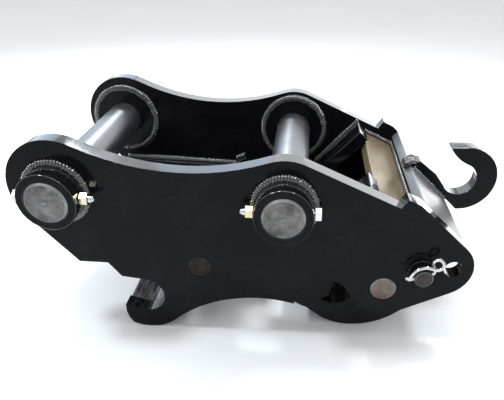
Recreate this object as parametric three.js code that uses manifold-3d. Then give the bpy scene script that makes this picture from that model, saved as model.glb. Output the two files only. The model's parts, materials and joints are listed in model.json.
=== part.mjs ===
// Quick coupler for a small excavator, in millimetres, +Z up.
// X runs from the dipper-pin end to the rear nose, Y across the coupler.
// It stands on its front hook lips and on the belly of the rear claw.
import * as THREE from 'three';
import { mergeVertices } from 'three/addons/utils/BufferGeometryUtils.js';
import Module from 'manifold-3d';

const wasm = await Module();
wasm.setup();

// Driving dimensions. A point is [x, z], with x from the dipper pin and z from the ground.
const GAP = 0.3; // between two pieces that touch
const CHORD = 0.12; // how far a curve's facets may lie inside it
const PIN_R = 22.4; // the two 45 mm mounting pins
const PIN_CLEARANCE = 0.3;
const DIPPER_PIN = [0, 178];
const LINK_PIN = [235, 170.7];
const INNER_HALF = 107; // half the space between the side plates
const PLATE_T = 18;
const OUTER_HALF = INNER_HALF + PLATE_T;
const COLLAR_R = 30.4;
const COLLAR_LENGTH = 26;
const RING_R = 41;
const RING_T = 4.2;
const PIN_HALF = OUTER_HALF + COLLAR_LENGTH + 2;

const CLAW_PIVOT = [346.4, 72.3];
const CLAW_PIN_R = 14.5;
const BASE_PIN = [141.3, 91.1];
const BASE_PIN_R = 13.1;
const BUCKET_PIN_R = 22.5; // the jaws are cut to the same 45 mm pin size
const FRONT_JAW = [74.1, 48];
const REAR_JAW = [286.5, 57.4];
const LOCK_PIN = [384.3, 98.6];
const LOCK_PIN_R = 10;
const LOCK_HOLE_R = 12;
const PARK_HOLE = [417.5, 102.5];

// Side plate outline: arcs and the three sloping rear edges.
const FRONT_END = [1.8, 180.2];
const FRONT_END_R = 53;
const SADDLE_ARC = [135, 467.3];
const SADDLE_ARC_R = 263.5;
const HUMP_R = 49.5;
const NOSE = [403.8, 101.9];
const NOSE_R = 35.3;
const HUB_LOBE_R = 36.5;
const ARCH = [206, -97.8];
const ARCH_R = 148.6;
const LIP_R = 48;
const LIP_TIP = [48, 31.4];
const JAW_MOUTH_TOP = [50.5, 73.5];
const CHIN = [37.6, 91.6];
const THROAT = [5.6, 91.8];
const TOOTH = [250.5, 54.4];
const TOP_SLOPE = THREE.MathUtils.degToRad(-23.64);
const BACK_SLOPE = THREE.MathUtils.degToRad(-41.5);
const UNDER_SLOPE = THREE.MathUtils.degToRad(28.5);

// Rear box.
const BACK_T = 11.5;
const BACK_TOP_X = 379;
const STEP_X = 351.5; // the plates' top edge rises by STEP_HEIGHT here
const STEP_HEIGHT = 11.5;
const CAP_RECESS = 12;
const CAP_T = 12;
const GUSSET_T = 15;
const GUSSET_WIDTH = 45;
const GUSSET_TOP = [323, 184];
const GUSSET_FOOT = [267.3, 124.1];
const CAP_FRONT_X = 331.5;

// Claw and its hydraulic cylinder.
const CHEEK_T = 20;
const CLAW_HALF = 104;
const HUB_R = 34;
const HUB_TUBE_R = 26;
const LEVER_LENGTH = 52;
const LEVER_ANGLE = THREE.MathUtils.degToRad(70);
const LEVER_EYE_R = 15;
const LEVER_ARM_HALF = 11;
const LEVER_T = 14;
const LEVER_FLOAT = 3.4; // the lever's hole is this much longer each way than the rod pin
const ROD_PIN_R = 7.5;
const ROD_EYE_HALF = 11;
const BARREL_R = 24;
const BORE_R = 19;
const ROD_R = 11;

const STEEL = new THREE.MeshStandardMaterial({ color: 0x8d8b88, roughness: 0.38, metalness: 0.9 });
const PAINT = new THREE.MeshStandardMaterial({ color: 0x101013, roughness: 0.18, metalness: 0.0 });
const ZINC = new THREE.MeshStandardMaterial({ color: 0xc9b98a, roughness: 0.3, metalness: 0.9 });
const CHROME = new THREE.MeshStandardMaterial({ color: 0xd8dadc, roughness: 0.1, metalness: 1.0 });
const PLATED = new THREE.MeshStandardMaterial({ color: 0xc4c6c8, roughness: 0.25, metalness: 0.9 });

const polar = (centre, radius, angle) => [
  centre[0] + radius * Math.cos(angle),
  centre[1] + radius * Math.sin(angle),
];
const direction = (from, to) => Math.atan2(to[1] - from[1], to[0] - from[0]);
const distance = (a, b) => Math.hypot(b[0] - a[0], b[1] - a[1]);
const shifted = (point, dx, dz) => [point[0] + dx, point[1] + dz];
const degrees = THREE.MathUtils.degToRad;

// Where the line through p at angle a meets the line through q at angle b.
function crossing(p, a, q, b) {
  const t = ((q[0] - p[0]) * Math.sin(b) - (q[1] - p[1]) * Math.cos(b)) / Math.sin(b - a);
  return [p[0] + t * Math.cos(a), p[1] + t * Math.sin(a)];
}

// Angle on a circle where a line from an outside point touches it; side is +1 or -1.
function touch(centre, radius, point, side) {
  return direction(centre, point) + side * Math.acos(radius / distance(centre, point));
}

const line = (shape, point) => shape.lineTo(...point);

// The fewest equal steps that keep a polygon within CHORD of its arc.
const arcSteps = (radius, sweep) =>
  Math.max(2, Math.ceil(Math.abs(sweep) / (2 * Math.acos(1 - CHORD / radius))));

// Carries the outline round an arc, from one angle to the other.
function arc(shape, centre, radius, from, to, clockwise) {
  const turn = 2 * Math.PI;
  const forward = (((to - from) % turn) + turn) % turn;
  const sweep = clockwise ? forward - turn : forward;
  const steps = arcSteps(radius, sweep);
  for (let i = 0; i <= steps; i += 1) line(shape, polar(centre, radius, from + (sweep * i) / steps));
}

function hole(shape, centre, radius) {
  const steps = arcSteps(radius, 2 * Math.PI);
  const points = Array.from({ length: steps }, (_, i) =>
    new THREE.Vector2(...polar(centre, radius, (2 * Math.PI * i) / steps)));
  shape.holes.push(new THREE.Path(points));
}

// The outline's points, without those that fall on the next one where two arcs join.
const spaced = (points) => points.filter((point, index) =>
  point.distanceTo(points[(index + 1) % points.length]) > 0.05);

// A solid whose XZ outline is the shape, from y0 to y1. Its outline runs counter-clockwise.
function slab(shape, y0, y1) {
  const points = spaced(shape.getPoints(8));
  if (THREE.ShapeUtils.isClockWise(points)) points.reverse();
  const outline = new THREE.Shape(points);
  outline.holes = shape.holes;
  const geometry = new THREE.ExtrudeGeometry(outline, { depth: y1 - y0, bevelEnabled: false });
  return geometry.rotateX(Math.PI / 2).translate(0, y1, 0);
}

// A solid of revolution about the Y axis through (x, z) from [radius, y] points.
function turned(profile, x = 0, z = 0, segments = 28) {
  const points = profile.map(([radius, y]) => new THREE.Vector2(radius, y));
  return new THREE.LatheGeometry(points, segments).translate(x, 0, z);
}

const rod = (radius, y0, y1, [x, z], chamfer = 0) => turned([
  [0, y0],
  ...(chamfer > 0 ? [[radius - chamfer, y0]] : []),
  [radius, y0 + chamfer],
  [radius, y1 - chamfer],
  ...(chamfer > 0 ? [[radius - chamfer, y1]] : []),
  [0, y1],
], x, z);

const ringSolid = (outer, inner, y0, y1, [x, z]) => turned([
  [inner, y0],
  [outer, y0],
  [outer, y1],
  [inner, y1],
  [inner, y0],
], x, z);

function manifoldOf(geometry) {
  const bare = geometry.clone();
  bare.deleteAttribute('normal');
  bare.deleteAttribute('uv');
  const merged = mergeVertices(bare, 1e-4);
  return new wasm.Manifold(new wasm.Mesh({
    numProp: 3,
    vertProperties: new Float32Array(merged.attributes.position.array),
    triVerts: new Uint32Array(merged.index.array),
  }));
}

function geometryOf(manifold) {
  const mesh = manifold.getMesh();
  const geometry = new THREE.BufferGeometry();
  geometry.setAttribute('position', new THREE.BufferAttribute(mesh.vertProperties, 3));
  geometry.setIndex(new THREE.BufferAttribute(mesh.triVerts, 1));
  return geometry;
}

const joined = (first, ...rest) =>
  geometryOf(rest.reduce((solid, next) => solid.add(manifoldOf(next)), manifoldOf(first)));
const cut = (first, ...rest) =>
  geometryOf(rest.reduce((solid, next) => solid.subtract(manifoldOf(next)), manifoldOf(first)));

const coupler = new THREE.Group();

function piece(name, geometry, material, parent = coupler) {
  const mesh = new THREE.Mesh(geometry, material);
  mesh.name = name;
  parent.add(mesh);
  return mesh;
}

// The same piece on both sides: build(side) returns geometry for side -1 (left) or +1 (right).
function pair(name, build, material, parent = coupler) {
  piece(`${name}_left`, build(-1), material, parent);
  piece(`${name}_right`, build(1), material, parent);
}

const span = (side, near, far) => (side < 0 ? [-far, -near] : [near, far]);

// Edge lines of the rear end.
const topLine = polar(LINK_PIN, HUMP_R, TOP_SLOPE + Math.PI / 2);
const stepLine = polar(topLine, STEP_HEIGHT, TOP_SLOPE + Math.PI / 2);
const backLine = polar(NOSE, NOSE_R, BACK_SLOPE + Math.PI / 2);
const backUnder = polar(backLine, BACK_T, BACK_SLOPE - Math.PI / 2);

function sidePlateShape() {
  const shape = new THREE.Shape();
  const endAngle = touch(FRONT_END, FRONT_END_R, THROAT, -1) + 2 * Math.PI;
  shape.moveTo(...polar(FRONT_END, FRONT_END_R, endAngle));
  const toSaddle = direction(FRONT_END, SADDLE_ARC);
  arc(shape, FRONT_END, FRONT_END_R, endAngle, toSaddle, true);
  const toHump = direction(SADDLE_ARC, LINK_PIN);
  arc(shape, SADDLE_ARC, SADDLE_ARC_R, toSaddle - Math.PI, toHump, false);
  arc(shape, LINK_PIN, HUMP_R, toHump + Math.PI, TOP_SLOPE + Math.PI / 2, true);
  const stepFoot = crossing(topLine, TOP_SLOPE, [STEP_X, 0], Math.PI / 2);
  line(shape, stepFoot);
  line(shape, crossing(stepLine, TOP_SLOPE, stepFoot, degrees(55)));
  line(shape, crossing(stepLine, TOP_SLOPE, backLine, BACK_SLOPE));
  arc(shape, NOSE, NOSE_R, BACK_SLOPE + Math.PI / 2, UNDER_SLOPE - Math.PI / 2, true);

  const between = direction(CLAW_PIVOT, REAR_JAW) + 2 * Math.PI;
  const lean = Math.acos((HUB_LOBE_R + BUCKET_PIN_R) / distance(CLAW_PIVOT, REAR_JAW));
  const leave = between + lean;
  arc(shape, CLAW_PIVOT, HUB_LOBE_R, UNDER_SLOPE + 1.5 * Math.PI, leave, true);
  const flare = touch(REAR_JAW, BUCKET_PIN_R, TOOTH, -1) + 2 * Math.PI;
  arc(shape, REAR_JAW, BUCKET_PIN_R, leave - Math.PI, flare, false);
  line(shape, TOOTH);
  line(shape, shifted(TOOTH, -2.5, -3));

  const archStart = degrees(73.6);
  const toLip = direction(ARCH, FRONT_JAW);
  arc(shape, ARCH, ARCH_R, archStart, toLip, false);
  arc(shape, FRONT_JAW, LIP_R, toLip + Math.PI, degrees(245), true);
  line(shape, shifted(LIP_TIP, 1.5, -19));
  line(shape, shifted(LIP_TIP, -0.5, -10));
  line(shape, LIP_TIP);
  const jawIn = touch(FRONT_JAW, BUCKET_PIN_R, LIP_TIP, 1);
  const jawOut = touch(FRONT_JAW, BUCKET_PIN_R, JAW_MOUTH_TOP, -1);
  arc(shape, FRONT_JAW, BUCKET_PIN_R, jawIn, jawOut, false);
  line(shape, JAW_MOUTH_TOP);
  line(shape, CHIN);
  line(shape, THROAT);

  hole(shape, DIPPER_PIN, PIN_R + PIN_CLEARANCE);
  hole(shape, LINK_PIN, PIN_R + PIN_CLEARANCE);
  hole(shape, CLAW_PIVOT, CLAW_PIN_R + GAP);
  hole(shape, BASE_PIN, BASE_PIN_R + GAP);
  hole(shape, LOCK_PIN, LOCK_HOLE_R);
  hole(shape, PARK_HOLE, LOCK_HOLE_R - 2);
  return shape;
}

function addFrame() {
  const plate = sidePlateShape();
  pair('side_plate', (side) => slab(plate, ...span(side, INNER_HALF, OUTER_HALF)), PAINT);

  const width = INNER_HALF - GAP;
  const seat = new THREE.Shape();
  const lip = shifted(LIP_TIP, 1.5, -0.5);
  const jawIn = touch(FRONT_JAW, BUCKET_PIN_R, lip, 1);
  const mouth = shifted(JAW_MOUTH_TOP, 5, -0.5);
  const jawOut = touch(FRONT_JAW, BUCKET_PIN_R, mouth, -1);
  seat.moveTo(...lip);
  arc(seat, FRONT_JAW, BUCKET_PIN_R, jawIn, jawOut, false);
  line(seat, mouth);
  line(seat, shifted(mouth, 0, 14));
  arc(seat, FRONT_JAW, 39, degrees(85), degrees(-100), true);
  line(seat, shifted(lip, 1, -15));
  piece('front_hook_seat', slab(seat, -width, width), PAINT);

  const deck = new THREE.Shape();
  deck.moveTo(-6, 121);
  deck.lineTo(158, 115);
  deck.lineTo(158, 109);
  deck.lineTo(-6, 115);
  piece('deck_plate', slab(deck, -width, width), PAINT);

  const lean = direction(GUSSET_FOOT, GUSSET_TOP);
  const inward = (point, depth) => polar(point, depth, lean - Math.PI / 2);
  const gusset = new THREE.Shape();
  gusset.moveTo(...GUSSET_FOOT);
  line(gusset, GUSSET_TOP);
  line(gusset, inward(GUSSET_TOP, GUSSET_T));
  line(gusset, inward(GUSSET_FOOT, GUSSET_T));
  pair('box_gusset', (side) => slab(gusset, ...span(side, width - GUSSET_WIDTH, width)), PAINT);

  // A plate parallel to the top edges, set down between them and stopping at the back plate.
  const capTop = polar(topLine, CAP_RECESS, TOP_SLOPE - Math.PI / 2);
  const capUnder = polar(topLine, CAP_RECESS + CAP_T, TOP_SLOPE - Math.PI / 2);
  const rear = polar(backUnder, GAP, BACK_SLOPE - Math.PI / 2);
  const front = crossing(capTop, TOP_SLOPE, [CAP_FRONT_X, 0], Math.PI / 2);
  const cap = new THREE.Shape();
  cap.moveTo(...front);
  line(cap, crossing(capTop, TOP_SLOPE, rear, BACK_SLOPE));
  line(cap, crossing(capUnder, TOP_SLOPE, rear, BACK_SLOPE));
  line(cap, crossing(capUnder, TOP_SLOPE, front, TOP_SLOPE - Math.PI / 2));
  piece('cap_plate', slab(cap, -width, width), PAINT);

  // The back plate closes the steep rear between the plates, flush with their edges.
  const backTop = crossing(backLine, BACK_SLOPE, [BACK_TOP_X, 0], Math.PI / 2);
  const back = new THREE.Shape();
  back.moveTo(...backTop);
  line(back, backLine);
  line(back, backUnder);
  line(back, polar(backTop, BACK_T, BACK_SLOPE - Math.PI / 2));
  piece('back_plate', slab(back, -width, width), PAINT);
}

function addLiftingHook() {
  const ringCentre = [443.5, 155];
  const ringRadius = 40;
  const throat = [439.8, 155];
  const throatRadius = 19.7;
  const footHeight = 13.4;
  const endRadius = 6.5;
  const base = polar(backLine, GAP, BACK_SLOPE + Math.PI / 2);
  const top = polar(backLine, footHeight, BACK_SLOPE + Math.PI / 2);
  const foot = crossing(base, BACK_SLOPE, [381, 0], Math.PI / 2);
  const heel = crossing(base, BACK_SLOPE, [437.5, 0], Math.PI / 2);
  const endCentre = polar(foot, endRadius + 1, BACK_SLOPE + degrees(42));
  const upper = BACK_SLOPE + Math.PI / 2;
  const shape = new THREE.Shape();
  shape.moveTo(...heel);
  line(shape, foot);
  arc(shape, endCentre, endRadius, upper + degrees(95), upper, true);
  line(shape, crossing(top, BACK_SLOPE, [411, 0], Math.PI / 2));
  arc(shape, throat, throatRadius, degrees(208), degrees(432), false);
  shape.quadraticCurveTo(433, 178.5, 422.7, 192.6);
  line(shape, [424.5, 194.4]);
  line(shape, [440, 194.6]);
  arc(shape, ringCentre, ringRadius, degrees(88), degrees(-92), true);
  piece('lifting_hook', slab(shape, -10, 10), PAINT);
}

// One mounting pin with its collars, inner rings, keeper bolts and grease fitting.
// boltSide is the X side of the keeper bolts; the grease fitting is opposite.
function addMountingPin(name, centre, boltSide) {
  const [x, z] = centre;
  const boltY = OUTER_HALF + COLLAR_LENGTH / 2;
  const boltR = 4;
  const bore = PIN_R + PIN_CLEARANCE;
  const acrossX = (radius, length, atX, y, sides = 14) =>
    new THREE.CylinderGeometry(radius, radius, length, sides).rotateZ(Math.PI / 2).translate(atX, y, z);
  const depth = 12; // how far the keeper bolt enters the pin
  const shankLength = COLLAR_R - PIN_R + depth + 4;
  const shankX = x + boltSide * (COLLAR_R + 4 - shankLength / 2);
  const drill = (y) => acrossX(boltR + GAP, shankLength + 2, shankX - boltSide * 1, y);
  const tap = (y) => acrossX(boltR + GAP, 16, x - boltSide * (COLLAR_R - 2), y);

  const dimple = 1.8;
  const shaft = turned([
    [0, -PIN_HALF + dimple],
    [dimple, -PIN_HALF],
    [PIN_R - 2.5, -PIN_HALF],
    [PIN_R, -PIN_HALF + 2.5],
    [PIN_R, PIN_HALF - 2.5],
    [PIN_R - 2.5, PIN_HALF],
    [dimple, PIN_HALF],
    [0, PIN_HALF - dimple],
  ], x, z);
  piece(`${name}_pin`, cut(shaft, drill(-boltY), drill(boltY)), STEEL);

  pair(`${name}_collar`, (side) => {
    const ring = ringSolid(COLLAR_R, bore, ...span(side, OUTER_HALF + GAP, OUTER_HALF + COLLAR_LENGTH), centre);
    return side < 0 ? cut(ring, drill(-boltY), tap(-boltY)) : cut(ring, drill(boltY));
  }, PAINT);
  pair(`${name}_inner_ring`, (side) =>
    ringSolid(RING_R, bore, ...span(side, INNER_HALF - RING_T, INNER_HALF - GAP), centre), PAINT);

  pair(`${name}_keeper_bolt`, (side) => {
    const shank = acrossX(boltR, shankLength, shankX, side * boltY);
    const head = acrossX(7.5, 6.5, x + boltSide * (COLLAR_R + GAP + 3.25), side * boltY, 6);
    return joined(shank, head);
  }, PLATED);

  const out = -boltSide;
  const hexLength = 8;
  const hexStart = COLLAR_R + GAP;
  const nippleStart = hexStart + hexLength + GAP;
  const adapter = joined(
    acrossX(7, hexLength, x + out * (hexStart + hexLength / 2), -boltY, 6),
    acrossX(boltR, hexLength, x + out * (hexStart - 2), -boltY),
  );
  piece(`${name}_grease_adapter`, adapter, ZINC);
  const nipple = joined(
    acrossX(3.9, 3, x + out * (nippleStart + 1.5), -boltY, 12),
    new THREE.SphereGeometry(3.2, 12, 8).translate(x + out * (nippleStart + 2.9), -boltY, z),
  );
  piece(`${name}_grease_nipple`, nipple, PLATED);
}

function clawShape() {
  const seatCentre = [294, 56.5];
  const seatR = 24.7;
  const bellyRight = [314, 84];
  const bellyLeft = [314, 62];
  const apart = distance(seatCentre, CLAW_PIVOT);
  const bend = Math.acos((apart ** 2 + seatR ** 2 - HUB_R ** 2) / (2 * apart * seatR));
  const seatStart = direction(seatCentre, CLAW_PIVOT) - bend;
  const hubEnd = direction(CLAW_PIVOT, polar(seatCentre, seatR, seatStart)) + 2 * Math.PI;
  const shape = new THREE.Shape();
  shape.moveTo(...polar(CLAW_PIVOT, HUB_R, degrees(-28)));
  arc(shape, CLAW_PIVOT, HUB_R, degrees(-28), hubEnd, false);
  arc(shape, seatCentre, seatR, seatStart, degrees(-128), true);
  line(shape, [288.7, 43.7]);
  line(shape, [290.6, 53]);
  line(shape, [292.6, 63.5]);
  arc(shape, [284, 62], 8.6, degrees(10), degrees(120), false);
  line(shape, [269.2, 65.6]);
  line(shape, [252, 45]);
  line(shape, [246.5, 36]);
  line(shape, [247.5, 31]);
  line(shape, [254.8, 26.6]);
  line(shape, [261, 24.2]);
  line(shape, [271, 16.9]);
  arc(shape, bellyLeft, 62, degrees(-123), degrees(-90), false);
  arc(shape, bellyRight, 84, degrees(-90), degrees(-44), false);
  line(shape, [378.2, 40]);
  return shape;
}

const claw = new THREE.Group();
coupler.add(claw);

function addClaw() {
  const cheek = clawShape();
  hole(cheek, CLAW_PIVOT, CLAW_PIN_R + GAP);
  pair('claw_cheek', (side) => slab(cheek, ...span(side, CLAW_HALF - CHEEK_T, CLAW_HALF)), PAINT, claw);

  // The bar carries the bucket pin between the cheeks: the claw's outline left of the hub.
  const barHalf = CLAW_HALF - CHEEK_T - GAP;
  const hubTube = ringSolid(HUB_TUBE_R, CLAW_PIN_R + GAP, -barHalf, barHalf, CLAW_PIVOT);
  const room = rod(HUB_TUBE_R + 9, -CLAW_HALF, CLAW_HALF, CLAW_PIVOT);
  const rearward = new THREE.BoxGeometry(80, 2 * CLAW_HALF, 120).translate(352, 0, 60);
  piece('claw_lip_bar', cut(slab(clawShape(), -barHalf, barHalf), room, rearward), PAINT, claw);
  piece('claw_hub_tube', hubTube, PAINT, claw);

  const eye = polar(CLAW_PIVOT, LEVER_LENGTH, LEVER_ANGLE);
  const lever = new THREE.Shape();
  const root = Math.asin(LEVER_ARM_HALF / HUB_R);
  const neck = Math.PI - Math.asin(LEVER_ARM_HALF / LEVER_EYE_R);
  lever.moveTo(...polar(CLAW_PIVOT, HUB_R, LEVER_ANGLE + root));
  arc(lever, CLAW_PIVOT, HUB_R, LEVER_ANGLE + root, LEVER_ANGLE - root, false);
  arc(lever, eye, LEVER_EYE_R, LEVER_ANGLE - neck, LEVER_ANGLE + neck, false);
  hole(lever, CLAW_PIVOT, HUB_TUBE_R + GAP);
  const slot = new THREE.Path();
  const low = polar(eye, -LEVER_FLOAT, LEVER_ANGLE);
  const high = polar(eye, LEVER_FLOAT, LEVER_ANGLE);
  slot.moveTo(...polar(low, ROD_PIN_R + 1, LEVER_ANGLE + Math.PI / 2));
  arc(slot, low, ROD_PIN_R + 1, LEVER_ANGLE + Math.PI / 2, LEVER_ANGLE - Math.PI / 2, false);
  arc(slot, high, ROD_PIN_R + 1, LEVER_ANGLE - Math.PI / 2, LEVER_ANGLE + Math.PI / 2, false);
  lever.holes.push(new THREE.Path(spaced(slot.getPoints())));
  const inside = ROD_EYE_HALF + 1;
  pair('claw_lever', (side) => slab(lever, ...span(side, inside, inside + LEVER_T)), PAINT, claw);
}

function addClawPins() {
  piece('claw_pivot_pin', rod(CLAW_PIN_R, -OUTER_HALF - 0.8, OUTER_HALF + 0.8, CLAW_PIVOT, 1), STEEL);
  pair('claw_thrust_washer', (side) =>
    ringSolid(24, CLAW_PIN_R + GAP, ...span(side, CLAW_HALF + GAP, INNER_HALF - GAP), CLAW_PIVOT), STEEL);
  piece('cylinder_base_pin', rod(BASE_PIN_R, -OUTER_HALF - 0.8, OUTER_HALF + 0.8, BASE_PIN, 1), STEEL);
  pair('base_pin_spacer', (side) =>
    ringSolid(18, BASE_PIN_R + GAP, ...span(side, 15, INNER_HALF - GAP), BASE_PIN), STEEL);
}

// The cylinder is made along +X from its base pin, and then turned to point at the lever's eye.
function addCylinder() {
  const leverEye = polar(CLAW_PIVOT, LEVER_LENGTH, LEVER_ANGLE);
  const reach = distance(BASE_PIN, leverEye);
  const cylinder = new THREE.Group();
  cylinder.position.set(BASE_PIN[0], 0, BASE_PIN[1]);
  cylinder.rotation.y = -direction(BASE_PIN, leverEye);
  coupler.add(cylinder);

  const along = (geometry) => geometry.rotateZ(-Math.PI / 2);
  const barrelStart = 22;
  const floor = 36;
  const barrelEnd = 142;
  const glandEnd = 152;
  const portR = 5;
  const portAt = [46, 122];
  const eyeR = 16.5;
  const across = (radius, length, x, y, sides = 14) =>
    new THREE.CylinderGeometry(radius, radius, length, sides).translate(x, y, 0);

  const tube = along(turned([
    [0, barrelStart],
    [BARREL_R - 4, barrelStart],
    [BARREL_R, barrelStart + 4],
    [BARREL_R, barrelEnd],
    [BORE_R, barrelEnd],
    [BORE_R, floor],
    [0, floor],
  ]));
  const neck = new THREE.BoxGeometry(24, 24, 25).translate(14, 0, 0);
  const eye = rod(eyeR, -14, 14, [0, 0]);
  const body = manifoldOf(tube).add(manifoldOf(neck)).add(manifoldOf(eye))
    .subtract(manifoldOf(rod(BASE_PIN_R + GAP, -20, 20, [0, 0])))
    .subtract(manifoldOf(across(portR, 20, portAt[0], BORE_R + 4)))
    .subtract(manifoldOf(across(portR, 20, portAt[1], BORE_R + 4)));
  piece('cylinder_barrel', geometryOf(body), PAINT, cylinder);

  const gland = along(turned([
    [ROD_R + GAP, barrelEnd - 10],
    [BORE_R - GAP, barrelEnd - 10],
    [BORE_R - GAP, barrelEnd + GAP],
    [BARREL_R, barrelEnd + GAP],
    [BARREL_R, glandEnd],
    [ROD_R + GAP, glandEnd],
    [ROD_R + GAP, barrelEnd - 10],
  ]));
  piece('cylinder_gland', gland, STEEL, cylinder);

  const stalk = (x) => joined(
    across(portR - GAP, 8, x, BARREL_R),
    across(8, 7, x, BARREL_R + 4, 6),
    across(5.5, 8, x, BARREL_R + 10),
  );
  piece('port_fitting_base', stalk(portAt[0]), PLATED, cylinder);
  piece('port_fitting_rod', stalk(portAt[1]), PLATED, cylinder);
  const valve = new THREE.BoxGeometry(44, 22, 30).translate(88, -(BARREL_R + GAP + 11), 0);
  piece('check_valve_block', valve, STEEL, cylinder);

  const pistonAt = 112;
  const piston = along(ringSolid(BORE_R - GAP, 7 + GAP, pistonAt, pistonAt + 16, [0, 0]));
  piece('piston', piston, STEEL, cylinder);
  const shaft = along(turned([
    [0, pistonAt - 2],
    [7, pistonAt - 2],
    [7, pistonAt + 16 + GAP],
    [ROD_R, pistonAt + 16 + GAP],
    [ROD_R, reach - 27],
    [7, reach - 27],
    [7, reach - 15],
    [0, reach - 15],
  ]));
  piece('piston_rod', shaft, CHROME, cylinder);

  const socket = along(turned([
    [0, reach - 26.5],
    [14, reach - 26.5],
    [14, reach - 8],
    [0, reach - 8],
  ]));
  const rodEye = manifoldOf(rod(LEVER_EYE_R, -ROD_EYE_HALF, ROD_EYE_HALF, [reach, 0]))
    .add(manifoldOf(socket).intersect(manifoldOf(
      new THREE.BoxGeometry(60, 2 * ROD_EYE_HALF, 60).translate(reach - 15, 0, 0))))
    .subtract(manifoldOf(rod(ROD_PIN_R + GAP, -20, 20, [reach, 0])))
    .subtract(manifoldOf(along(rod(7 + GAP, reach - 30, reach - 14.5, [0, 0]))));
  piece('rod_eye', geometryOf(rodEye), STEEL, cylinder);
  const outside = ROD_EYE_HALF + 1 + LEVER_T;
  piece('rod_pin', rod(ROD_PIN_R, -outside - 7, outside + 7, [reach, 0], 1), STEEL, cylinder);
  pair('rod_pin_washer', (side) =>
    ringSolid(13, ROD_PIN_R + GAP, ...span(side, outside + 1, outside + 4), [reach, 0]), PLATED, cylinder);
}

// The lock pin crosses both side plates; a hairpin clip holds its near end.
function addLockPin() {
  const near = -OUTER_HALF - 16.5;
  const [x, z] = LOCK_PIN;
  const clipY = near + 7;
  const wire = 1.8;
  const tilt = degrees(20);
  const crossHole = new THREE.CylinderGeometry(wire + GAP, wire + GAP, 40, 16)
    .rotateZ(Math.PI / 2).rotateY(-tilt).translate(x, clipY, z);
  const shank = turned([
    [0, near],
    [LOCK_PIN_R - 1.5, near],
    [LOCK_PIN_R, near + 1.5],
    [LOCK_PIN_R, OUTER_HALF + 1],
    [17, OUTER_HALF + 1],
    [17, OUTER_HALF + 9],
    [0, OUTER_HALF + 9],
  ], x, z);
  piece('lock_pin', cut(shank, crossHole), STEEL);
  piece('lock_pin_washer', ringSolid(15, LOCK_PIN_R + GAP, -OUTER_HALF - 2.8, -OUTER_HALF - GAP, LOCK_PIN), STEEL);

  // The clip's straight leg goes through the pin, its wire coils once into an eye,
  // and its other leg springs over the pin's end.
  const straight = [[-16, 0], [-8, 0], [0, 0], [6, 0], [9, 0], [11.3, 0.6]];
  const eye = [[13.2, 5.2], [12.6, 12], [16, 17.3], [20.6, 17.2], [23.2, 12.8], [21, 8.2], [16, 7.2]];
  const spring = [[10.5, 10.4], [6, 13.2], [0, 13.8], [-6, 12.4], [-10.5, 9], [-14, 5.2], [-18, 6]];
  const riseStart = straight.length + 1;
  const rise = 1.2;
  const outboard = (index) => -rise * Math.min(Math.max(index - riseStart, 0), 4);
  const points = [...straight, ...eye, ...spring].map(([u, v], index) =>
    new THREE.Vector3(u, outboard(index), v));
  const path = new THREE.CatmullRomCurve3(points);
  const section = new THREE.Shape();
  section.absarc(0, 0, wire, 0, 2 * Math.PI, false);
  const clip = new THREE.ExtrudeGeometry(section, { steps: 72, extrudePath: path, curveSegments: 5 });
  clip.rotateY(-tilt).translate(x, clipY, z);
  piece('hairpin_clip', clip, PLATED);
}

addFrame();
addLiftingHook();
addMountingPin('dipper', DIPPER_PIN, -1);
addMountingPin('link', LINK_PIN, 1);
addClaw();
addClawPins();
addCylinder();
addLockPin();

// Origin on the ground, under the middle of the coupler's length.
const REAR_END = 443.5 + 40;
const FRONT_LIMIT = FRONT_END[0] - FRONT_END_R;
coupler.position.x = -(REAR_END + FRONT_LIMIT) / 2;

export default coupler;
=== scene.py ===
"""Looks of a pin-grabber quick coupler: gloss black enamel over welded plate, turned steel pins,
plated fittings and rippled weld beads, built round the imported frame. Metres, +Z up."""
import json
import math

import bmesh
import bpy
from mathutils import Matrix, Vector

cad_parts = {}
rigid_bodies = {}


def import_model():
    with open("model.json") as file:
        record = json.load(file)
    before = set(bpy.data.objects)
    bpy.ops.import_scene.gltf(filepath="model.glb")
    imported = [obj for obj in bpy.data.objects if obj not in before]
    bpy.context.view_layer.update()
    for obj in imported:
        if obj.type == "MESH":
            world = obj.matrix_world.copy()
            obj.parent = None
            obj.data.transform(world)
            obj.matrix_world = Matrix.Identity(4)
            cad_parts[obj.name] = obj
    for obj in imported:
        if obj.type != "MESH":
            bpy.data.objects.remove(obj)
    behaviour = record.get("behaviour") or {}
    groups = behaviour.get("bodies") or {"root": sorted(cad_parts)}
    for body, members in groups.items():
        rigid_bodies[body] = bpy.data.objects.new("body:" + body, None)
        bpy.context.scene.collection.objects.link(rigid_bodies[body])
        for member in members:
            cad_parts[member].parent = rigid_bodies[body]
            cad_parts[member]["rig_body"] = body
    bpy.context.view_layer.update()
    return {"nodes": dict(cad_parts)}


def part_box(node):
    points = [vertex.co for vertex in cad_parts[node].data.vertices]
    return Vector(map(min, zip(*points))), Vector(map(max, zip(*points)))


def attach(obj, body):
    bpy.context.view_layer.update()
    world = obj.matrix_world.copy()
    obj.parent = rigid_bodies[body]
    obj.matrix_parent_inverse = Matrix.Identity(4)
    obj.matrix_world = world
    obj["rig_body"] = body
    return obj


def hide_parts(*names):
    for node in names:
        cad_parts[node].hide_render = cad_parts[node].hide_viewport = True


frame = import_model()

MM = 0.001
SEED = 7
BEVEL_SEGMENTS = 3
NEAR_SEAM = 1.2  # how far a seam's line lies inside the side plates' inner faces, in mm

# The sockets of a colour mix node.
MIX_FACTOR, MIX_FIRST, MIX_SECOND, MIX_RESULT = 0, 6, 7, 2


def centre(node):
    low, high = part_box(node)
    return (low + high) / 2


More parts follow.
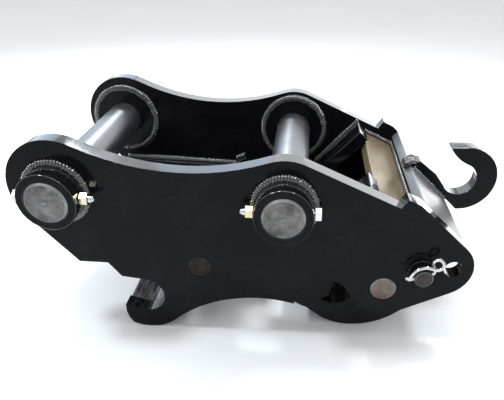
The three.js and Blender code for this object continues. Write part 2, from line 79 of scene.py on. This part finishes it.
# Centres and sizes that everything else is placed from.
DIPPER = centre("dipper_pin")
LINK = centre("link_pin")
PIVOT = centre("claw_pivot_pin")
BASE_PIN = centre("cylinder_base_pin")
LOCK = centre("lock_pin_washer")
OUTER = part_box("side_plate_right")[1].y
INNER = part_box("side_plate_right")[0].y
RING_R = (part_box("dipper_inner_ring_left")[1].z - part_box("dipper_inner_ring_left")[0].z) / 2
COLLAR_R = (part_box("dipper_collar_left")[1].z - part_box("dipper_collar_left")[0].z) / 2


def at(x, y, z):
    """A point from millimetres: x from the dipper pin, y across, z from the ground."""
    return Vector((DIPPER.x + x * MM, y * MM, z * MM))


JAW = at(74.1, 0, 48)  # the middle of the front jaw


# ---------------------------------------------------------------- node helpers


class Graph:
    """Short ways to add and join nodes in one tree."""

    def __init__(self, tree):
        self.tree = tree

    def add(self, kind, inputs=None, **settings):
        node = self.tree.nodes.new(kind)
        for key, value in settings.items():
            setattr(node, key, value)
        for key, value in (inputs or {}).items():
            self.give(node, key, value)
        return node

    def give(self, node, key, value):
        socket = node.inputs[key]
        if isinstance(value, bpy.types.NodeSocket):
            self.tree.links.new(value, socket)
        else:
            socket.default_value = value

    def math(self, operation, a, b=0.0, clamp=False):
        node = self.add("ShaderNodeMath", {0: a, 1: b}, operation=operation)
        node.use_clamp = clamp
        return node.outputs[0]

    def noise(self, vector, scale, detail=3.0, roughness=0.5, distortion=0.0):
        inputs = {"Vector": vector, "Scale": scale, "Detail": detail,
                  "Roughness": roughness, "Distortion": distortion}
        return self.add("ShaderNodeTexNoise", inputs).outputs["Fac"]

    def noise_line(self, w, scale, detail=2.0):
        inputs = {"W": w, "Scale": scale, "Detail": detail}
        return self.add("ShaderNodeTexNoise", inputs, noise_dimensions="1D").outputs["Fac"]

    def remap(self, value, low, high, to_low=0.0, to_high=1.0):
        inputs = {"Value": value, "From Min": low, "From Max": high,
                  "To Min": to_low, "To Max": to_high}
        return self.add("ShaderNodeMapRange", inputs).outputs["Result"]

    def mix(self, factor, a, b):
        node = self.add("ShaderNodeMix", data_type="RGBA")
        self.give(node, MIX_FACTOR, factor)
        self.give(node, MIX_FIRST, a)
        self.give(node, MIX_SECOND, b)
        return node.outputs[MIX_RESULT]

    def stretched(self, vector, scale):
        return self.add("ShaderNodeMapping", {"Vector": vector, "Scale": scale}).outputs[0]


def new_group(name, inputs, outputs):
    """A shader node group with (name, socket type, default) inputs and (name, socket type) outputs."""
    group = bpy.data.node_groups.new(name, "ShaderNodeTree")
    for label, kind, default in inputs:
        socket = group.interface.new_socket(label, in_out="INPUT", socket_type=kind)
        if default is not None:
            socket.default_value = default
    for label, kind in outputs:
        group.interface.new_socket(label, in_out="OUTPUT", socket_type=kind)
    graph = Graph(group)
    entry = graph.add("NodeGroupInput")
    leave = graph.add("NodeGroupOutput")
    return group, graph, entry.outputs, leave


COLOR = "NodeSocketColor"
FLOAT = "NodeSocketFloat"
VECTOR = "NodeSocketVector"


def enamel_skin():
    """Orange peel, sags, fine scuffs and a little dust of a sprayed gloss coat."""
    group, g, given, leave = new_group(
        "enamel_skin",
        [("Vector", VECTOR, None), ("Paint", COLOR, (0.012, 0.012, 0.014, 1)),
         ("Dust", COLOR, (0.16, 0.15, 0.14, 1)), ("Peel Size", FLOAT, 420.0), ("Dustiness", FLOAT, 0.12),
         ("Gloss Low", FLOAT, 0.1), ("Gloss High", FLOAT, 0.26)],
        [("Color", COLOR), ("Roughness", FLOAT), ("Height", FLOAT)])
    peel = g.noise(given["Vector"], given["Peel Size"], 2.0)
    sag = g.noise(given["Vector"], 38.0, 2.0, 0.45)
    patches = g.noise(given["Vector"], 17.0, 4.0, 0.6, 0.6)
    specks = g.noise(given["Vector"], 260.0, 6.0, 0.7)
    dusty = g.remap(g.math("MULTIPLY", patches, specks), 0.24, 0.42)
    dusty = g.math("MULTIPLY", dusty, given["Dustiness"], True)
    g.give(leave, "Color", g.mix(dusty, given["Paint"], given["Dust"]))
    gloss = g.remap(patches, 0.34, 0.66)
    spread = g.math("SUBTRACT", given["Gloss High"], given["Gloss Low"])
    rough = g.math("ADD", g.math("MULTIPLY", gloss, spread), given["Gloss Low"])
    g.give(leave, "Roughness", g.math("ADD", rough, g.math("MULTIPLY", dusty, 1.2), True))
    height = g.math("ADD", g.math("MULTIPLY", peel, 0.22), g.math("MULTIPLY", sag, 0.78))
    g.give(leave, "Height", height)
    return group


def cut_edge():
    """Drag lines of a cutting torch across a plate's thickness, and where faces don't look sideways."""
    group, g, given, leave = new_group(
        "cut_edge", [("Vector", VECTOR, None), ("Normal", VECTOR, None), ("Fineness", FLOAT, 900.0)],
        [("Height", FLOAT), ("Rim", FLOAT)])
    along = g.stretched(given["Vector"], (1.0, 0.05, 1.0))
    lines = g.noise(along, given["Fineness"], 3.0, 0.6)
    coarse = g.noise(along, 240.0, 2.0)
    sideways = g.add("ShaderNodeSeparateXYZ", {0: given["Normal"]}).outputs["Y"]
    mask = g.remap(g.math("ABSOLUTE", sideways), 0.35, 0.15)
    height = g.math("ADD", g.math("MULTIPLY", lines, 0.55), g.math("MULTIPLY", coarse, 0.45))
    g.give(leave, "Height", g.math("MULTIPLY", height, mask))
    g.give(leave, "Rim", g.remap(g.math("ABSOLUTE", sideways), 0.97, 0.86))
    return group


def turned_grooves():
    """Tool marks of a lathe about the Y axis: rings on end faces, hoops along a shaft."""
    group, g, given, leave = new_group(
        "turned_grooves", [("Vector", VECTOR, None), ("Fineness", FLOAT, 2200.0)],
        [("Height", FLOAT), ("Tone", FLOAT)])
    parts = g.add("ShaderNodeSeparateXYZ", {0: given["Vector"]}).outputs
    square_x = g.math("MULTIPLY", parts["X"], parts["X"])
    square_z = g.math("MULTIPLY", parts["Z"], parts["Z"])
    square = g.math("ADD", square_x, square_z)
    radius = g.math("SQRT", square)
    place = g.math("ADD", radius, g.math("MULTIPLY", parts["Y"], 0.9))
    fine = g.noise_line(place, given["Fineness"])
    broad = g.noise_line(place, 320.0)
    g.give(leave, "Height", g.math("ADD", g.math("MULTIPLY", fine, 0.7), g.math("MULTIPLY", broad, 0.3)))
    g.give(leave, "Tone", g.math("ADD", g.math("MULTIPLY", fine, 0.4), g.math("MULTIPLY", broad, 0.6)))
    return group


def metal_patina():
    """Cloudy tone, stain and small pits of bare or plated metal."""
    group, g, given, leave = new_group(
        "metal_patina",
        [("Vector", VECTOR, None), ("Light", COLOR, (0.6, 0.6, 0.6, 1)),
         ("Dark", COLOR, (0.3, 0.3, 0.3, 1)),
         ("Stain", COLOR, (0.12, 0.07, 0.04, 1)), ("Staining", FLOAT, 0.3), ("Cloud Size", FLOAT, 60.0)],
        [("Color", COLOR), ("Wear", FLOAT), ("Height", FLOAT)])
    clouds = g.noise(given["Vector"], given["Cloud Size"], 5.0, 0.62, 0.4)
    grit = g.noise(given["Vector"], 900.0, 3.0, 0.7)
    blots = g.remap(g.noise(given["Vector"], 130.0, 5.0, 0.65, 0.8), 0.52, 0.7)
    stain = g.math("MULTIPLY", blots, given["Staining"], True)
    metal = g.mix(g.remap(clouds, 0.32, 0.68), given["Dark"], given["Light"])
    g.give(leave, "Color", g.mix(stain, metal, given["Stain"]))
    g.give(leave, "Wear", g.math("ADD", g.math("MULTIPLY", clouds, 0.6), g.math("MULTIPLY", stain, 0.6)))
    g.give(leave, "Height", g.math("SUBTRACT", grit, stain))
    return group


ENAMEL_SKIN = enamel_skin()
CUT_EDGE = cut_edge()
TURNED_GROOVES = turned_grooves()
METAL_PATINA = metal_patina()


# ---------------------------------------------------------------- materials


def material(name):
    made = bpy.data.materials.new(name)
    made.use_nodes = True
    made.node_tree.nodes.clear()
    g = Graph(made.node_tree)
    shader = g.add("ShaderNodeBsdfPrincipled")
    g.add("ShaderNodeOutputMaterial", {"Surface": shader.outputs[0]})
    coordinates = g.add("ShaderNodeTexCoord").outputs["Object"]
    return made, g, shader, coordinates


def use(g, group, inputs):
    return g.add("ShaderNodeGroup", inputs, node_tree=group).outputs


def bump(g, shader, height, strength, distance):
    node = g.add("ShaderNodeBump", {"Strength": strength, "Distance": distance, "Height": height})
    g.give(shader, "Normal", node.outputs[0])


def painted(name, colour=(0.0052, 0.0052, 0.0064, 1), gloss=(0.09, 0.2), cut=True, dustiness=0.04,
            strength=0.5, coat=None, coat_ior=1.7, ior=1.19, tint=(1, 1, 1, 1)):
    """Gloss enamel, with torch marks on cut edges. With no coat given, it shines where faces don't
    look sideways, as on edges and round faces."""
    made, g, shader, place = material(name)
    skin = use(g, ENAMEL_SKIN, {"Vector": place, "Paint": colour, "Dustiness": dustiness,
                                "Gloss Low": gloss[0], "Gloss High": gloss[1]})
    g.give(shader, "Base Color", skin["Color"])
    g.give(shader, "Roughness", skin["Roughness"])
    height = g.math("MULTIPLY", skin["Height"], 0.5)
    facing = g.add("ShaderNodeNewGeometry").outputs["True Normal"]
    edge = use(g, CUT_EDGE, {"Vector": place, "Normal": facing})
    if cut:
        height = g.math("ADD", height, g.math("MULTIPLY", edge["Height"], 0.5))
    bump(g, shader, height, strength, 0.0006)
    shader.inputs["IOR"].default_value = ior
    shader.inputs["Specular Tint"].default_value = tint
    if coat is None:
        g.give(shader, "Coat Weight", edge["Rim"])
    else:
        shader.inputs["Coat Weight"].default_value = coat
    shader.inputs["Coat Roughness"].default_value = 0.07
    shader.inputs["Coat IOR"].default_value = coat_ior
    return made


# Lighter steel for faces that don't look sideways: partly rubbed steel, partly a painted highlight on
# chamfer rims.
RUBBED_STEEL_AND_HIGHLIGHT = (0.3, 0.307, 0.32, 1)


def turned_steel(name, axis, light, dark, staining=0.5, rough=(0.28, 0.52), rub_and_highlight=0.75):
    """Lathe-turned steel with grooves about the pin's axis. Faces that don't look sideways (shaft and
    chamfers) take one lighter tone: partly real rubbing of the bearing surface, partly a painted highlight
    on the chamfer rims.
    """
    made, g, shader, place = material(name)
    moved = g.add("ShaderNodeMapping", {"Vector": place, "Location": (-axis.x, 0, -axis.z)})
    grooves = use(g, TURNED_GROOVES, {"Vector": moved.outputs[0]})
    patina = use(g, METAL_PATINA,
                 {"Vector": place, "Light": light, "Dark": dark, "Staining": staining})
    facing = g.add("ShaderNodeNewGeometry").outputs["True Normal"]
    edge = use(g, CUT_EDGE, {"Vector": place, "Normal": facing})
    # Shaft and chamfers made lighter by which way they face: real rubbing plus a painted highlight.
    rubbed_and_highlight = g.math("MULTIPLY", edge["Rim"], rub_and_highlight)
    g.give(shader, "Base Color", g.mix(rubbed_and_highlight, patina["Color"], RUBBED_STEEL_AND_HIGHLIGHT))
    worn = g.math("MULTIPLY", patina["Wear"], 0.5)
    tone = g.math("MULTIPLY", grooves["Tone"], 0.5)
    g.give(shader, "Roughness", g.remap(g.math("ADD", worn, tone), 0.25, 0.7, *rough))
    ridges = g.math("MULTIPLY", grooves["Height"], 0.8)
    pits = g.math("MULTIPLY", patina["Height"], 0.1)
    height = g.math("ADD", ridges, pits)
    bump(g, shader, height, 0.45, 0.0002)
    shader.inputs["Metallic"].default_value = 1.0
    return made


def plated(name, light, dark, stain, staining, rough, cloud=90.0):
    """Plated small hardware, with the plating's cloudy shades."""
    made, g, shader, place = material(name)
    patina = use(g, METAL_PATINA, {"Vector": place, "Light": light, "Dark": dark, "Stain": stain,
                                   "Staining": staining, "Cloud Size": cloud})
    g.give(shader, "Base Color", patina["Color"])
    g.give(shader, "Roughness", g.remap(patina["Wear"], 0.2, 0.7, *rough))
    bump(g, shader, patina["Height"], 0.2, 0.00012)
    shader.inputs["Metallic"].default_value = 1.0
    return made


def rubbed_seat(name):
    """Enamel rubbed through to streaked steel where an attachment's pin has ridden."""
    made, g, shader, place = material(name)
    skin = use(g, ENAMEL_SKIN,
               {"Vector": place, "Paint": (0.012, 0.012, 0.013, 1), "Dustiness": 0.1})
    patina = use(g, METAL_PATINA, {"Vector": place, "Light": (0.6, 0.59, 0.6, 1),
                                   "Dark": (0.3, 0.295, 0.3, 1), "Staining": 0.35, "Cloud Size": 120.0})
    streaks = g.noise(g.stretched(place, (1.0, 0.12, 1.0)), 300.0, 5.0, 0.7)
    around = g.add("ShaderNodeVectorMath", {0: g.stretched(place, (1, 0, 1)), 1: (JAW.x, 0, JAW.z)},
                   operation="DISTANCE").outputs["Value"]
    near = g.math("MULTIPLY", g.remap(around, 0.05, 0.034), 0.3)
    bare = g.remap(g.math("ADD", g.math("MULTIPLY", streaks, 1.1), near), 0.72, 0.98)
    g.give(shader, "Base Color", g.mix(bare, skin["Color"], patina["Color"]))
    g.give(shader, "Metallic", bare)
    g.give(shader, "Roughness", g.remap(bare, 0.0, 1.0, 0.2, 0.42))
    film = g.math("MULTIPLY", skin["Height"], 0.5)
    height = g.math("SUBTRACT", film, g.math("MULTIPLY", bare, 0.35))
    bump(g, shader, height, 0.5, 0.0004)
    return made


PLATE_PAINT = painted("gloss_enamel_plate")
ROUND_PAINT = painted("gloss_enamel_turned", cut=False, gloss=(0.08, 0.18), strength=0.35)
CLAW_PAINT = painted("gloss_enamel_claw", colour=(0.0085, 0.0085, 0.0095, 1), gloss=(0.12, 0.26),
                     dustiness=0.08)
WELD_PAINT = painted("gloss_enamel_weld", colour=(0.01, 0.01, 0.011, 1), gloss=(0.07, 0.16),
                     cut=False, strength=0.9, coat=1.0, coat_ior=2.0)
SEAT_STEEL = rubbed_seat("rubbed_seat")
YELLOW_ZINC = plated("yellow_zinc", (0.8, 0.74, 0.55, 1), (0.6, 0.53, 0.34, 1),
                     (0.5, 0.3, 0.2, 1), 0.25, (0.2, 0.38))
BRIGHT_ZINC = plated("bright_zinc", (0.78, 0.79, 0.81, 1), (0.55, 0.56, 0.58, 1),
                     (0.4, 0.4, 0.42, 1), 0.2, (0.14, 0.34))
CHROME = plated("hard_chrome", (0.86, 0.87, 0.89, 1), (0.78, 0.79, 0.81, 1),
                (0.6, 0.6, 0.6, 1), 0.05, (0.04, 0.12), 40.0)
# The cap plate is black enamel too: its warm cream colour and warm specular tint are a painted reflection
# of a warm wall.
CAP_PAINTED_REFLECTION = painted("cap_enamel_painted_reflection", colour=(0.125, 0.098, 0.058, 1), gloss=(0.26, 0.4),
                      coat=0.0, ior=2.1, tint=(1.0, 0.78, 0.46, 1))
# The back plate is black enamel too: its pale grey colour is a painted reflection that makes it read
# bright.
BACK_PAINTED_REFLECTION = painted("back_enamel_painted_reflection", colour=(0.12, 0.124, 0.13, 1), gloss=(0.26, 0.42),
                      coat=0.0, ior=2.3)
PIN_LIGHT = (0.23, 0.228, 0.222, 1)
PIN_DARK = (0.045, 0.044, 0.042, 1)


# ---------------------------------------------------------------- finished pieces


def finished(node, surface, width, sharp=35.0):
    """The CAD node with broken edges: its flat triangles merged, its corners rounded, its curves smooth."""
    source = frame["nodes"][node]
    body = source["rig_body"]
    mesh = bpy.data.meshes.new(node + "_finished")
    shape = bmesh.new()
    shape.from_mesh(source.data)
    bmesh.ops.remove_doubles(shape, verts=shape.verts, dist=0.00001)
    bmesh.ops.dissolve_limit(shape, angle_limit=math.radians(0.6),
                             verts=shape.verts, edges=shape.edges)
    for face in shape.faces:
        face.smooth = True
    shape.to_mesh(mesh)
    shape.free()
    draft = bpy.data.objects.new(node + "_draft", mesh)
    bpy.context.scene.collection.objects.link(draft)
    bevel = draft.modifiers.new("broken_edges", "BEVEL")
    bevel.limit_method = "ANGLE"
    bevel.angle_limit = math.radians(sharp)
    bevel.width = width
    bevel.segments = BEVEL_SEGMENTS
    bevel.miter_outer = "MITER_ARC"
    weighted = draft.modifiers.new("even_shading", "WEIGHTED_NORMAL")
    weighted.weight = 60
    piece = settled(draft, node + "_finished", body)
    piece.data.materials.clear()
    piece.data.materials.append(surface)
    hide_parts(node)
    return piece


def settled(draft, name, body):
    """The evaluated draft as a plain mesh riding on a body; the draft and its modifiers go."""
    graph = bpy.context.evaluated_depsgraph_get()
    graph.update()
    mesh = bpy.data.meshes.new_from_object(draft.evaluated_get(graph),
                                           preserve_all_data_layers=True, depsgraph=graph)
    mesh.name = name
    piece = bpy.data.objects.new(name, mesh)
    bpy.context.scene.collection.objects.link(piece)
    bpy.data.objects.remove(draft)
    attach(piece, body)
    return piece


def finish_plates():
    for node in ("side_plate_left", "side_plate_right"):
        finished(node, PLATE_PAINT, 1.3 * MM)
    # The back and cap plates are black enamel; their pale and warm paints carry painted reflections.
    for node, paint in (("lifting_hook", PLATE_PAINT), ("back_plate", BACK_PAINTED_REFLECTION),
                        ("cap_plate", CAP_PAINTED_REFLECTION), ("box_gusset_left", PLATE_PAINT),
                        ("box_gusset_right", PLATE_PAINT)):
        finished(node, paint, 1.2 * MM)
    finished("deck_plate", PLATE_PAINT, 0.8 * MM)
    finished("front_hook_seat", SEAT_STEEL, 1.0 * MM)


def finish_mounting_pins():
    for pin, middle in (("dipper", DIPPER), ("link", LINK)):
        steel = turned_steel(pin + "_pin_steel", middle, PIN_LIGHT, PIN_DARK)
        finished(pin + "_pin", steel, 0.5 * MM, sharp=25)
        for side in ("left", "right"):
            finished(f"{pin}_collar_{side}", ROUND_PAINT, 1.2 * MM)
            finished(f"{pin}_inner_ring_{side}", ROUND_PAINT, 0.8 * MM)
            finished(f"{pin}_keeper_bolt_{side}", BRIGHT_ZINC, 0.5 * MM)
        finished(pin + "_grease_adapter", YELLOW_ZINC, 0.5 * MM)
        finished(pin + "_grease_nipple", BRIGHT_ZINC, 0.3 * MM, sharp=50)


def finish_claw():
    for node in ("claw_cheek_left", "claw_cheek_right", "claw_lip_bar",
                 "claw_lever_left", "claw_lever_right"):
        finished(node, CLAW_PAINT, 1.0 * MM)
    finished("claw_hub_tube", ROUND_PAINT, 0.8 * MM)
    brown = (0.2, 0.165, 0.15, 1)
    dark_brown = (0.09, 0.072, 0.062, 1)
    pivot_steel = turned_steel("pivot_pin_steel", PIVOT, brown, dark_brown, 0.5, rub_and_highlight=0.9)
    finished("claw_pivot_pin", pivot_steel, 0.4 * MM, sharp=25)
    for side in ("left", "right"):
        finished("claw_thrust_washer_" + side, pivot_steel, 0.4 * MM)
    base_steel = turned_steel("base_pin_steel", BASE_PIN, (0.03, 0.029, 0.028, 1),
                              (0.015, 0.014, 0.014, 1), 0.3, rub_and_highlight=0.06)
    finished("cylinder_base_pin", base_steel, 0.4 * MM, sharp=25)
    for side in ("left", "right"):
        finished("base_pin_spacer_" + side, base_steel, 0.4 * MM)


def finish_cylinder():
    machined = turned_steel("machined_steel", centre("rod_pin"), PIN_LIGHT, PIN_DARK, 0.2)
    finished("cylinder_barrel", ROUND_PAINT, 0.8 * MM)
    for node in ("cylinder_gland", "check_valve_block", "rod_eye", "rod_pin", "piston"):
        finished(node, machined, 0.5 * MM)
    for node in ("port_fitting_base", "port_fitting_rod",
                 "rod_pin_washer_left", "rod_pin_washer_right"):
        finished(node, BRIGHT_ZINC, 0.4 * MM)
    finished("piston_rod", CHROME, 0.5 * MM)


def finish_lock_pin():
    lock_steel = turned_steel("lock_pin_steel", LOCK, (0.06, 0.058, 0.056, 1),
                              (0.03, 0.029, 0.028, 1), 0.4, rub_and_highlight=0.3)
    finished("lock_pin", lock_steel, 0.5 * MM, sharp=25)
    finished("lock_pin_washer", ROUND_PAINT, 0.5 * MM)
    finished("hairpin_clip", BRIGHT_ZINC, 0.25 * MM, sharp=60)


# ---------------------------------------------------------------- weld beads


def ripple_tree():
    """Geometry nodes: a path becomes a row of overlapping ripples, each a lens leaning against the last."""
    tree = bpy.data.node_groups.new("weld_ripples", "GeometryNodeTree")
    face = tree.interface
    face.new_socket("Geometry", in_out="INPUT", socket_type="NodeSocketGeometry")
    for label, default in (("Bead Radius", 0.004), ("Ripple Pitch", 0.0026),
                           ("Lean", 0.55), ("Unevenness", 0.12)):
        face.new_socket(label, in_out="INPUT", socket_type=FLOAT).default_value = default
    face.new_socket("Seed", in_out="INPUT", socket_type="NodeSocketInt").default_value = SEED
    face.new_socket("Material", in_out="INPUT", socket_type="NodeSocketMaterial")
    face.new_socket("Geometry", in_out="OUTPUT", socket_type="NodeSocketGeometry")
    g = Graph(tree)
    given = g.add("NodeGroupInput").outputs
    path = g.add("GeometryNodeMeshToCurve", {"Mesh": given["Geometry"]})
    even = g.add("GeometryNodeResampleCurve",
                 {"Curve": path.outputs[0], "Length": given["Ripple Pitch"]}, mode="LENGTH")
    lens = g.add("GeometryNodeMeshUVSphere", {"Segments": 14, "Rings": 8, "Radius": 1.0})
    rounded = g.add("GeometryNodeSetShadeSmooth", {"Geometry": lens.outputs[0]})
    tangent = g.add("GeometryNodeInputTangent").outputs[0]
    outward = g.add("GeometryNodeInputNamedAttribute", {"Name": "outward"},
                    data_type="FLOAT_VECTOR")
    tilt = g.add("ShaderNodeVectorMath", {0: outward.outputs[0], "Scale": given["Lean"]},
                 operation="SCALE")
    leaning = g.add("ShaderNodeVectorMath", {0: tangent, 1: tilt.outputs[0]}, operation="ADD")
    turn = g.add("FunctionNodeAlignRotationToVector", {"Vector": leaning.outputs[0]}, axis="Z")
    low = g.math("SUBTRACT", 1.0, given["Unevenness"])
    high = g.math("ADD", 1.0, given["Unevenness"])
    chance = g.add("FunctionNodeRandomValue", {"Seed": given["Seed"]}, data_type="FLOAT")
    for name, value in (("Min", low), ("Max", high)):
        socket = next(s for s in chance.inputs if s.name == name and s.enabled)
        tree.links.new(value, socket)
    varied = next(s for s in chance.outputs if s.enabled)
    across = g.math("MULTIPLY", given["Bead Radius"], varied)
    along = g.math("MULTIPLY", given["Ripple Pitch"], 0.82)
    size = g.add("ShaderNodeCombineXYZ", {"X": across, "Y": across, "Z": along})
    rows = g.add("GeometryNodeInstanceOnPoints",
                 {"Points": even.outputs[0], "Instance": rounded.outputs[0],
                  "Rotation": turn.outputs[0], "Scale": size.outputs[0]})
    real = g.add("GeometryNodeRealizeInstances", {"Geometry": rows.outputs[0]})
    painted_bead = g.add("GeometryNodeSetMaterial",
                         {"Geometry": real.outputs[0], "Material": given["Material"]})
    g.add("NodeGroupOutput", {"Geometry": painted_bead.outputs[0]})
    return tree


RIPPLES = ripple_tree()


def ring_path(middle, radius, y, outward_y, steps=64):
    points = []
    for step in range(steps):
        angle = 2 * math.pi * step / steps
        out = Vector((math.cos(angle), 0, math.sin(angle)))
        place = Vector((middle.x, y, middle.z)) + out * radius
        points.append((place, (out + Vector((0, outward_y, 0))).normalized()))
    return points, True


def line_path(start, end, outward):
    return [(start, outward), (end, outward)], False


def weld(name, paths, radius, pitch=3.0 * MM, seed=SEED):
    """One piece of weld on the frame, from several paths of (place, outward) points."""
    mesh = bpy.data.meshes.new(name + "_path")
    places, edges, outs = [], [], []
    for points, closed in paths:
        first = len(places)
        places += [place for place, _ in points]
        outs += [out for _, out in points]
        edges += [(first + i, first + i + 1) for i in range(len(points) - 1)]
        if closed:
            edges.append((first + len(points) - 1, first))
    mesh.from_pydata(places, edges, [])
    outward = mesh.attributes.new("outward", "FLOAT_VECTOR", "POINT")
    outward.data.foreach_set("vector", [value for out in outs for value in out])
    draft = bpy.data.objects.new(name + "_draft", mesh)
    bpy.context.scene.collection.objects.link(draft)
    ripples = draft.modifiers.new("ripples", "NODES")
    ripples.node_group = RIPPLES
    values = {"Bead Radius": radius, "Ripple Pitch": pitch, "Seed": seed, "Material": WELD_PAINT}
    for item in RIPPLES.interface.items_tree:
        if item.in_out == "INPUT" and item.name in values:
            ripples[item.identifier] = values[item.name]
    piece = settled(draft, name, "frame")


def weld_mounting_pins():
    for pin, middle in (("dipper", DIPPER), ("link", LINK)):
        outer = [ring_path(middle, COLLAR_R + 1.5 * MM, side * (OUTER + 1.0 * MM), side)
                 for side in (-1, 1)]
        weld(pin + "_collar_welds", outer, 5.2 * MM)
        inner = [ring_path(middle, RING_R + 0.8 * MM, side * (INNER - 0.8 * MM), -side)
                 for side in (-1, 1)]
        weld(pin + "_inner_ring_welds", inner, 5.0 * MM, seed=SEED + 1)


def weld_box():
    """The beads of the rear box: gussets, cap plate, back plate and lifting hook."""
    inside = INNER / MM - NEAR_SEAM
    gusset, cap = [], []
    for side in (-1, 1):
        y = side * inside
        inward = Vector((0, -side, 0))
        gusset.append(line_path(at(321.5, y, 182.6), at(267.8, y, 125.0),
                                inward + Vector((-0.5, 0, 0.5))))
        cap.append(line_path(at(334.5, y, 169.4), at(373.0, y, 152.4),
                             inward + Vector((0.3, 0, 0.8))))
    weld("gusset_welds", gusset, 4.2 * MM, seed=SEED + 2)
    weld("cap_plate_welds", cap, 4.6 * MM, seed=SEED + 3)
    foot = 13  # the beads' distance from the hook's middle
    corner = line_path(at(372.6, -inside, 153.6), at(372.6, inside, 153.6), Vector((-0.7, 0, 0.7)))
    weld("back_plate_weld", [corner], 4.2 * MM, seed=SEED + 4)
    hook = [line_path(at(383.0, side * foot, 166.5), at(424.0, side * foot, 130.2),
                      Vector((0.6, side, 0.7))) for side in (-1, 1)]
    weld("lifting_hook_welds", hook, 5.6 * MM, seed=SEED + 5)
    lump = [line_path(at(x, -8, z), at(x, 8, z), Vector((-0.5, 0, 0.86)))
            for x, z in ((376.5, 170.6), (380.0, 172.6))]
    weld("hook_toe_weld", lump, 6.4 * MM, 3.8 * MM, seed=SEED + 6)


def weld_front():
    """The beads of the deck plate and of the front hook's seat."""
    inside = INNER / MM - NEAR_SEAM
    steps = 25
    deck, seat = [], []
    for side in (-1, 1):
        y = side * inside
        inward = Vector((0, -side, 0))
        deck.append(line_path(at(-3, y, 121.8), at(156, y, 116.2), inward + Vector((0, 0, 1))))
        deck.append(line_path(at(157, y, 124), at(166, y, 128), inward))
        points = []
        for step in range(steps + 1):
            angle = math.radians(82 - 180 * step / steps)
            out = Vector((math.cos(angle), 0, math.sin(angle)))
            place = Vector((JAW.x, y * MM, JAW.z)) + out * 40.2 * MM
            points.append((place, (out + inward).normalized()))
        seat.append((points, False))
    weld("deck_welds", deck, 5.4 * MM, seed=SEED + 7)
    weld("front_seat_welds", seat, 3.4 * MM, seed=SEED + 8)


# ---------------------------------------------------------------- stage


def add_floor():
    """A wide pale floor."""
    half = 20.0
    mesh = bpy.data.meshes.new("floor")
    corners = [(-half, -half, 0), (half, -half, 0), (half, half, 0), (-half, half, 0)]
    mesh.from_pydata(corners, [], [(0, 1, 2, 3)])
    floor = bpy.data.objects.new("floor", mesh)
    bpy.context.scene.collection.objects.link(floor)
    made, g, shader, place = material("pale_floor")
    tone = g.noise(place, 3.0, 3.0)
    g.give(shader, "Base Color", g.mix(tone, (0.88, 0.88, 0.88, 1), (0.92, 0.92, 0.92, 1)))
    g.give(shader, "Roughness", g.remap(tone, 0.3, 0.7, 0.75, 0.85))
    mesh.materials.append(made)


def add_light(name, place, target, size, power, colour=(1, 1, 1)):
    light = bpy.data.lights.new(name, "AREA")
    light.shape = "RECTANGLE"
    light.size, light.size_y = size
    light.energy = power
    light.color = colour
    lamp = bpy.data.objects.new(name, light)
    lamp.location = place
    lamp.rotation_euler = (Vector(target) - Vector(place)).to_track_quat("-Z", "Y").to_euler()
    lamp.visible_camera = False
    bpy.context.scene.collection.objects.link(lamp)


def add_lights():
    world = bpy.data.worlds.new("soft_room")
    world.use_nodes = True
    sky = world.node_tree.nodes.get("Background") or world.node_tree.nodes.new("ShaderNodeBackground")
    sky.inputs[0].default_value = (0.96, 0.98, 1.0, 1)
    sky.inputs[1].default_value = 0.82
    bpy.context.scene.world = world
    middle = (0.0, 0.0, 0.12)
    cool_white = (0.9, 0.95, 1.0)
    add_light("overhead_box", (0.1, 0.1, 1.7), middle, (1.4, 1.0), 7.5)
    add_light("rear_left_card", (-0.75, 1.25, 0.6), (-0.1, 0.0, 0.18), (0.8, 0.7), 1.9,
              (0.55, 0.76, 1.0))
    add_light("rear_card", (0.05, 1.25, 0.6), (0.0, 0.0, 0.2), (0.75, 0.7), 1.6,
              (0.92, 0.96, 1.0))
    add_light("rear_right_card", (0.68, 1.25, 0.42), (0.13, 0.0, 0.16), (0.55, 0.5), 1.2,
              cool_white)
    add_light("low_card", (0.62, 0.75, 0.13), (0.19, 0.0, 0.15), (0.5, 0.24), 1.6)
    for name, place in (("left_glint", (-0.6, -0.15, 1.1)), ("right_glint", (0.5, 0.25, 1.2)),
                        ("rear_glint", (-0.25, 0.9, 1.0))):
        add_light(name, place, middle, (0.15, 0.15), 6.5, (0.85, 0.93, 1.0))


def add_camera():
    """Looks down on the near left side, from a little over half a metre away."""
    camera = bpy.data.cameras.new("camera")
    camera.lens = 35.56
    camera.sensor_width = 36.0
    camera.shift_x = -0.0516
    camera.shift_y = 0.1233
    camera.clip_start = 0.01
    viewer = bpy.data.objects.new("camera", camera)
    viewer.location = (0.03813, -0.57152, 0.41154)
    viewer.rotation_euler = [math.radians(angle) for angle in (55.341, -0.559, 3.663)]
    bpy.context.scene.collection.objects.link(viewer)
    bpy.context.scene.camera = viewer
    bpy.context.scene.view_settings.view_transform = "Standard"


add_camera()
finish_plates()
finish_mounting_pins()
finish_claw()
finish_cylinder()
finish_lock_pin()
weld_mounting_pins()
weld_box()
weld_front()
add_floor()
add_lights()
